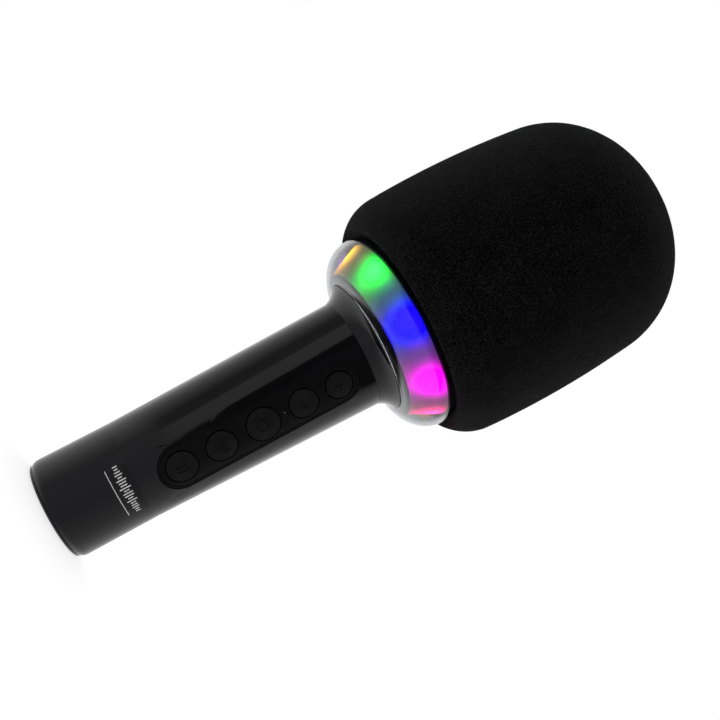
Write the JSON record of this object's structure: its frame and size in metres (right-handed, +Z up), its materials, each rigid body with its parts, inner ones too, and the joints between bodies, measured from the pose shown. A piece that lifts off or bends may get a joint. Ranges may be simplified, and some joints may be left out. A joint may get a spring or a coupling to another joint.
{
  "type": "karaoke microphone",
  "caption": "Handheld wireless karaoke microphone with a foam windscreen, a glowing lamp ring, a tapered handle with a keypad and a built-in loudspeaker.",
  "frame": {"origin": "centre of the base's flat under side", "axes": "+Z up the handle to the crown of the windscreen; the keypad faces -Y; +X to the right of the keypad"},
  "size_m": [0.1004, 0.1004, 0.252],
  "materials": {
    "gloss_black": "polished piano black, mirror-like",
    "panel_rubber": "fine matte rubber",
    "key_rubber": "satin rubber, engraved symbols",
    "black_plastic": "moulded, light texture",
    "circuit_board": "green solder mask",
    "bright_steel": "plated sheet steel",
    "screw_steel": "plated, satin",
    "white_plastic": "natural nylon",
    "chip_epoxy": "moulded epoxy",
    "capacitor_can": "drawn can, satin",
    "battery_wrap": "blue heat-shrink sleeve over the cell",
    "smoky_clear": "clear, smoky, polished",
    "milky_white": "translucent opal, lit from behind",
    "led_white": "lens of a surface-mounted lamp",
    "clear_acrylic": "clear, polished",
    "speaker_steel": "black powder coat",
    "plated_steel": "zinc plated, turned",
    "ferrite": "sintered, dark grey",
    "copper": "enamelled wire",
    "paper_cone": "pressed black paper",
    "soft_rubber": "thin moulded rubber",
    "spider_cloth": "varnished cloth",
    "gasket_foam": "thin closed foam",
    "windscreen_foam": "open-cell foam, deep black, fine pores",
    "wire_sleeve": "PVC insulated hook-up wire"
  },
  "bodies": {
    "microphone": {"base_cap": "gloss_black", "cap_screws": "screw_steel", "usb_port": "bright_steel", "usb_tongue": "black_plastic", "usb_board": "circuit_board", "usb_board_screws": "screw_steel", "handle_tube": "gloss_black", "keypad_panel": "panel_rubber", "keypad_board": "circuit_board", "switch_bodies": "bright_steel", "status_light_pipe": "clear_acrylic", "status_led": "led_white", "board_spacers": "white_plastic", "board_header": "black_plastic", "board_screws": "screw_steel", "main_board": "circuit_board", "chips": "chip_epoxy", "shield_can": "bright_steel", "capacitors": "capacitor_can", "connectors": "white_plastic", "carrier": "black_plastic", "battery_cell": "battery_wrap", "battery_contacts": "bright_steel", "neck_collar": "gloss_black", "collar_screws": "screw_steel", "ring_bezel": "gloss_black", "head_base": "black_plastic", "head_screws": "screw_steel", "led_strip": "white_plastic", "leds": "led_white", "light_diffuser": "milky_white", "light_ring": "smoky_clear", "speaker_gasket": "gasket_foam", "speaker_frame": "speaker_steel", "speaker_top_plate": "plated_steel", "speaker_magnet": "ferrite", "speaker_yoke": "plated_steel", "speaker_terminals": "copper", "speaker_screws": "screw_steel", "inner_cage": "black_plastic", "cage_screws": "screw_steel", "capsule_bridge": "black_plastic", "mic_capsule": "bright_steel", "wires": "wire_sleeve"},
    "key_mode_body": {"key_mode": "key_rubber", "plunger_mode": "black_plastic"},
    "key_voice_body": {"key_voice": "key_rubber", "plunger_voice": "black_plastic"},
    "key_power_body": {"key_power": "key_rubber", "plunger_power": "black_plastic"},
    "key_minus_body": {"key_minus": "key_rubber", "plunger_minus": "black_plastic"},
    "key_plus_body": {"key_plus": "key_rubber", "plunger_plus": "black_plastic"},
    "cone_body": {"speaker_cone": "paper_cone", "voice_coil": "copper", "dust_cap": "paper_cone", "speaker_surround": "soft_rubber", "speaker_spider": "spider_cloth"},
    "windscreen": {"foam_windscreen": "windscreen_foam"}
  },
  "joints": [
    {"name": "key_mode_press", "type": "slide", "parent": "microphone", "child": "key_mode_body", "axis": [0, 1, 0], "range_m": [0, 0.0005], "stiffness_N_per_m": 1800, "springref_m": -0.0003},
    {"name": "key_voice_press", "type": "slide", "parent": "microphone", "child": "key_voice_body", "axis": [0, 1, 0], "range_m": [0, 0.0005], "stiffness_N_per_m": 1800, "springref_m": -0.0003},
    {"name": "key_power_press", "type": "slide", "parent": "microphone", "child": "key_power_body", "axis": [0, 1, 0], "range_m": [0, 0.0005], "stiffness_N_per_m": 1800, "springref_m": -0.0003},
    {"name": "key_minus_press", "type": "slide", "parent": "microphone", "child": "key_minus_body", "axis": [0, 1, 0], "range_m": [0, 0.0005], "stiffness_N_per_m": 1800, "springref_m": -0.0003},
    {"name": "key_plus_press", "type": "slide", "parent": "microphone", "child": "key_plus_body", "axis": [0, 1, 0], "range_m": [0, 0.0005], "stiffness_N_per_m": 1800, "springref_m": -0.0003},
    {"name": "cone_travel", "type": "slide", "parent": "microphone", "child": "cone_body", "axis": [0, 0, 1], "range_m": [-0.001, 0.001], "stiffness_N_per_m": 900, "deforming": ["speaker_surround", "speaker_spider"]},
    {"name": "windscreen_pull", "type": "slide", "parent": "microphone", "child": "windscreen", "axis": [0, 0, 1], "range_m": [0, 0.105]}
  ]
}
